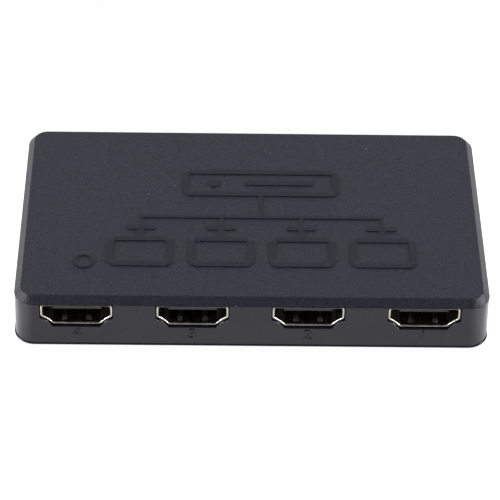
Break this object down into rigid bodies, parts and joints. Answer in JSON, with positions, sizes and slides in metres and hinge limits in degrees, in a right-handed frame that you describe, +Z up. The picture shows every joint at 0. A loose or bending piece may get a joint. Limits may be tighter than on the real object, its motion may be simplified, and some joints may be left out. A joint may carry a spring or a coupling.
{
  "type": "video splitter",
  "caption": "flat charcoal box that copies one video input to a row of output sockets, with bevelled cover, tray, board, sockets and power jack as separate pieces",
  "frame": {"origin": "on the resting plane under the middle of the case", "axes": "X along the row of outputs, -Y out of the outputs, +Y out of the input, Z up"},
  "size_m": [0.0988, 0.0568, 0.0125],
  "materials": {
    "cover_plastic": "spark-eroded charcoal",
    "tray_plastic": "smooth charcoal, satin gloss",
    "board_laminate": "green solder mask over glass laminate",
    "screw_steel": "zinc plated",
    "shell_nickel": "nickel-plated steel sheet",
    "insulator_plastic": "black moulded polymer",
    "contact_gold": "gold flash over copper alloy",
    "jack_plastic": "black moulded polymer",
    "tin_plate": "bright tin",
    "spring_bronze": "phosphor bronze",
    "light_acrylic": "clear acrylic",
    "lamp_resin": "pale lamp resin",
    "chip_epoxy": "black epoxy",
    "coil_ferrite": "grey ferrite",
    "can_aluminium": "drawn aluminium",
    "capacitor_ceramic": "tan ceramic"
  },
  "bodies": {
    "base": {"bottom_tray": "tray_plastic", "circuit_board": "board_laminate", "board_screws": "screw_steel", "jack_housing": "jack_plastic", "jack_pin": "tin_plate", "jack_terminal": "tin_plate", "light_pipe": "light_acrylic", "power_led": "lamp_resin", "splitter_chip": "chip_epoxy", "splitter_chip_leads": "tin_plate", "memory_chip": "chip_epoxy", "memory_chip_leads": "tin_plate", "regulators": "chip_epoxy", "regulator_leads": "tin_plate", "surge_arrays": "chip_epoxy", "power_coil": "coil_ferrite", "crystal": "can_aluminium", "capacitor_cans": "can_aluminium", "capacitor_bases": "chip_epoxy", "chip_capacitors": "capacitor_ceramic", "chip_resistors": "chip_epoxy", "chip_end_caps": "tin_plate", "output_1_shell": "shell_nickel", "output_1_insulator": "insulator_plastic", "output_1_contacts": "contact_gold", "output_2_shell": "shell_nickel", "output_2_insulator": "insulator_plastic", "output_2_contacts": "contact_gold", "output_3_shell": "shell_nickel", "output_3_insulator": "insulator_plastic", "output_3_contacts": "contact_gold", "output_4_shell": "shell_nickel", "output_4_insulator": "insulator_plastic", "output_4_contacts": "contact_gold", "input_shell": "shell_nickel", "input_insulator": "insulator_plastic", "input_contacts": "contact_gold"},
    "cover": {"top_cover": "cover_plastic"},
    "leaf": {"jack_leaf": "spring_bronze"}
  },
  "joints": [
    {"name": "cover_lift", "type": "slide", "parent": "base", "child": "cover", "axis": [0, 0, 1], "range_m": [0, 0.025]},
    {"name": "jack_leaf_flex", "type": "hinge", "parent": "base", "child": "leaf", "pos_m": [0.03235, 0.0181, 0.0075], "axis": [0, 0, 1], "range_deg": [0, 4], "stiffness_Nm_per_rad": 0.05}
  ]
}
